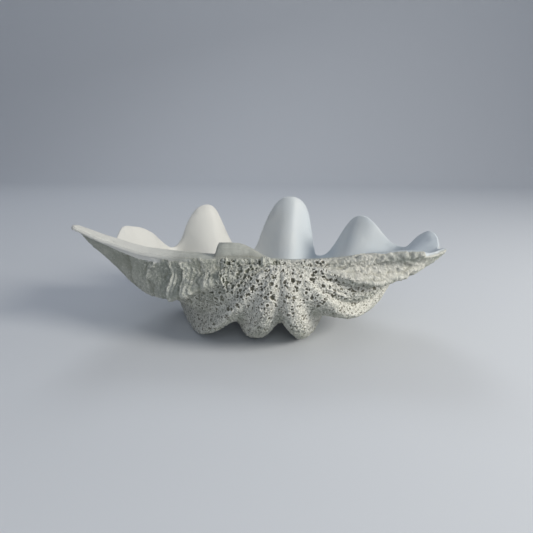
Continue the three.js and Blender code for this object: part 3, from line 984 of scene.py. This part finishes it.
class ClamColours(bpy.types.PropertyGroup):
    """Colours of the shell."""

    chalk: tone("Chalk", "Weathered outside, warm parts", (0.66, 0.645, 0.575))
    chalk_shade: tone("Chalk shade", "Weathered outside, cool parts", (0.47, 0.48, 0.43))
    # Painted highlight on high ground, rims and leaf crests, and a little lighter toward the blunt end.
    pale_chalk_and_highlight: tone("Pale chalk and highlight", "Painted highlight on high ground, rims and leaf crests", (0.90, 0.885, 0.81))
    # Painted shade in low ground, fine pits, cord valleys, at leaf feet and along the hinge streaks.
    recess_shade: tone("Recess shade", "Painted shade in low ground, pits, grooves and leaf feet", (0.25, 0.24, 0.185))
    # Painted green-grey shade on the underside and the pointed end.
    painted_green_shade: tone("Painted green shade", "Greenish shade under the ribs and the pointed end", (0.27, 0.30, 0.235))
    # Painted shade in the bored holes.
    boring: tone("Boring", "Painted shade in the bored holes", (0.20, 0.19, 0.14))
    porcelain: tone("Porcelain", "Smooth inside", (0.71, 0.70, 0.655))
    # Painted shade on the inside toward the blunt end.
    porcelain_painted_shade: tone("Porcelain shade", "Smooth inside, painted shade toward the blunt end", (0.57, 0.625, 0.665))
    hinge: tone("Hinge", "Hinge plate and tooth", (0.31, 0.32, 0.285))


class ClamStage(bpy.types.PropertyGroup):
    """The floor, lights and camera."""

    floor: tone("Floor", "Plain pale floor", (0.66, 0.68, 0.71))
    sky: tone("Surroundings", "Soft light from all round", (0.80, 0.87, 1.0))
    sky_strength: FloatProperty(name="Surroundings strength", description="Strength of the soft light",
                                default=0.30, min=0)
    key_power: power("Key light", "Power of the large light", 34)
    back_power: power("Back light", "Power of the light behind", 12)
    fill_power: power("Fill light", "Power of the second light", 9)


# ---------------------------------------------------------------- the valve and its stage

def placed(points):
    """Points in metres, with the valve where the CAD has it before its ribs are worn flat."""
    middle = (points.min(0) + points.max(0)) / 2
    low, high = (np.array(corner) for corner in CAD_BOX)
    lift = WORN_DEPTH + points[:, 2].min()
    aside = [(low[axis] + high[axis]) / 2 - middle[axis] * MM for axis in (0, 1)]
    return points * MM + np.array([*aside, -lift * MM])


def make_valve(settings, colours):
    """Grows the valve, wears it, and thins it to its number of triangles."""
    points, values, faces, ties = closed_skin(settings.columns, settings.old_rows, settings.young_rows,
                                              settings.inner_rows)
    mesh = mesh_of("shell_valve", placed(points), faces, ties, values)
    piece = bpy.data.objects.new("shell_valve", mesh)
    bpy.context.scene.collection.objects.link(piece)
    wear(piece, settings, WEAR_KEYS, shell_finish(settings, colours))
    thin = piece.modifiers.new("thin", "DECIMATE")
    thin.ratio = min(settings.triangles / (2 * len(faces) + len(ties)), 1)
    thin.use_collapse_triangulate = True
    made = as_plain_mesh(piece)
    if len(made.polygons) > MOST_TRIANGLES:
        raise RuntimeError(f"the valve has {len(made.polygons)} faces")
    return piece


class CLAM_OT_valve(bpy.types.Operator):
    """Builds the valve in place of its CAD solid"""

    bl_idname = "clam.valve"
    bl_label = "Build valve"

    def execute(self, context):
        piece = make_valve(context.scene.clam_wear, context.scene.clam_colours)
        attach(piece, "root")
        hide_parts(NODE)
        return {"FINISHED"}


# Each lamp: its name, place in metres, width and colour. All of them look at one spot.
LAMPS = (
    ("key", (1.75, -0.75, 1.05), 0.8, (1.0, 0.965, 0.89)),
    ("fill", (0.5, -2.2, 1.1), 1.6, (0.88, 0.94, 1.0)),
    ("back", (-0.5, 1.8, 2.2), 1.2, (0.92, 0.96, 1.0)),
)
LAMPS_TO = (0, 0, 0.08)
FLOOR_GLOSS = 0.9

# The camera, in millimetres. It looks at the hinge side from a little above.
CAMERA_AT = (45.8, -637.9, 268.1)
CAMERA_TO = (-0.8, -98.4, 112.8)
CAMERA_LENS = 30.4
CAMERA_SENSOR = 36
CAMERA_SHIFT = 0.016

# The nearest and farthest that the camera sees, in metres.
CAMERA_REACH = (0.01, 30)


def looking(where, target):
    """The turn of a lamp or camera that looks from where to target."""
    return (Vector(target) - Vector(where)).to_track_quat("-Z", "Y").to_euler()


def area_light(name, where, width, strength, colour):
    """A round soft light."""
    light = bpy.data.lights.new(name, "AREA")
    light.shape, light.size, light.energy, light.color = "DISK", width, strength, colour
    lamp = bpy.data.objects.new(name, light)
    lamp.location = where
    lamp.rotation_euler = looking(where, LAMPS_TO)
    bpy.context.scene.collection.objects.link(lamp)


def plain_material(name, colour, roughness):
    """A material of one colour."""
    material = bpy.data.materials.new(name)
    material.use_nodes = True
    skin = material.node_tree.nodes["Principled BSDF"]
    skin.inputs["Base Color"].default_value = (*colour, 1)
    skin.inputs["Roughness"].default_value = roughness
    return material


def sweep(name, half_width, front, back, height, radius, steps=24):
    """A floor that turns up into a wall behind the object, as one curved sheet."""
    turn = [math.radians(90) * i / steps for i in range(steps + 1)]
    line = [(front, 0.0)] + [(back + radius * math.sin(a), radius * (1 - math.cos(a))) for a in turn]
    line.append((back + radius, height))
    spots = [(x, y, z) for y, z in line for x in (-half_width, half_width)]
    faces = [(2 * i, 2 * i + 1, 2 * i + 3, 2 * i + 2) for i in range(len(line) - 1)]
    mesh = bpy.data.meshes.new(name)
    mesh.from_pydata(spots, [], faces)
    mesh.shade_smooth()
    floor = bpy.data.objects.new(name, mesh)
    bpy.context.scene.collection.objects.link(floor)
    return floor


def make_floor(colour):
    floor = sweep("floor", half_width=6.0, front=-3.0, back=2.0, height=4.0, radius=1.2)
    floor.data.materials.append(plain_material("floor_pale", colour, FLOOR_GLOSS))


def make_sky(colour, strength):
    """Soft light from all round."""
    world = bpy.context.scene.world or bpy.data.worlds.new("soft_room")
    bpy.context.scene.world = world
    world.use_nodes = True
    sky = world.node_tree.nodes["Background"]
    sky.inputs["Color"].default_value = (*colour, 1)
    sky.inputs["Strength"].default_value = strength


def make_camera():
    lens = bpy.data.cameras.new("camera")
    lens.sensor_width, lens.lens, lens.shift_x = CAMERA_SENSOR, CAMERA_LENS, CAMERA_SHIFT
    lens.clip_start, lens.clip_end = CAMERA_REACH
    camera = bpy.data.objects.new("camera", lens)
    camera.location = Vector(CAMERA_AT) * MM
    camera.rotation_euler = looking(CAMERA_AT, CAMERA_TO)
    bpy.context.scene.collection.objects.link(camera)
    bpy.context.scene.camera = camera


def make_stage(settings):
    make_floor(settings.floor)
    bpy.context.scene.view_settings.view_transform = "Standard"
    make_sky(settings.sky, settings.sky_strength)
    for name, where, width, colour in LAMPS:
        area_light(name, where, width, getattr(settings, name + "_power"), colour)
    make_camera()


class CLAM_OT_stage(bpy.types.Operator):
    """Builds the floor, the lights and the camera"""

    bl_idname = "clam.stage"
    bl_label = "Build stage"

    def execute(self, context):
        make_stage(context.scene.clam_stage)
        return {"FINISHED"}


class CLAM_PT_panel(bpy.types.Panel):
    """Every setting, with a button for the valve and one for the stage"""

    bl_idname = "CLAM_PT_panel"
    bl_label = "Giant Clam Valve"
    bl_space_type = "VIEW_3D"
    bl_region_type = "UI"
    bl_category = "Clam"

    def draw(self, context):
        scene = context.scene
        for button, settings in (("clam.valve", scene.clam_wear), (None, scene.clam_colours),
                                 ("clam.stage", scene.clam_stage)):
            box = self.layout.box()
            for key in settings.__annotations__:
                box.prop(settings, key)
            if button:
                box.operator(button)


CLASSES = (ClamWear, ClamColours, ClamStage, CLAM_OT_valve, CLAM_OT_stage, CLAM_PT_panel)
GROUPS = {"clam_wear": ClamWear, "clam_colours": ClamColours, "clam_stage": ClamStage}


def register():
    for each in CLASSES:
        bpy.utils.register_class(each)
    for key, group in GROUPS.items():
        setattr(bpy.types.Scene, key, PointerProperty(type=group))


def unregister():
    for key in GROUPS:
        delattr(bpy.types.Scene, key)
    for each in reversed(CLASSES):
        bpy.utils.unregister_class(each)


def main():
    register()
    bpy.ops.clam.stage()
    bpy.ops.clam.valve()


if __name__ == "__main__":
    main()
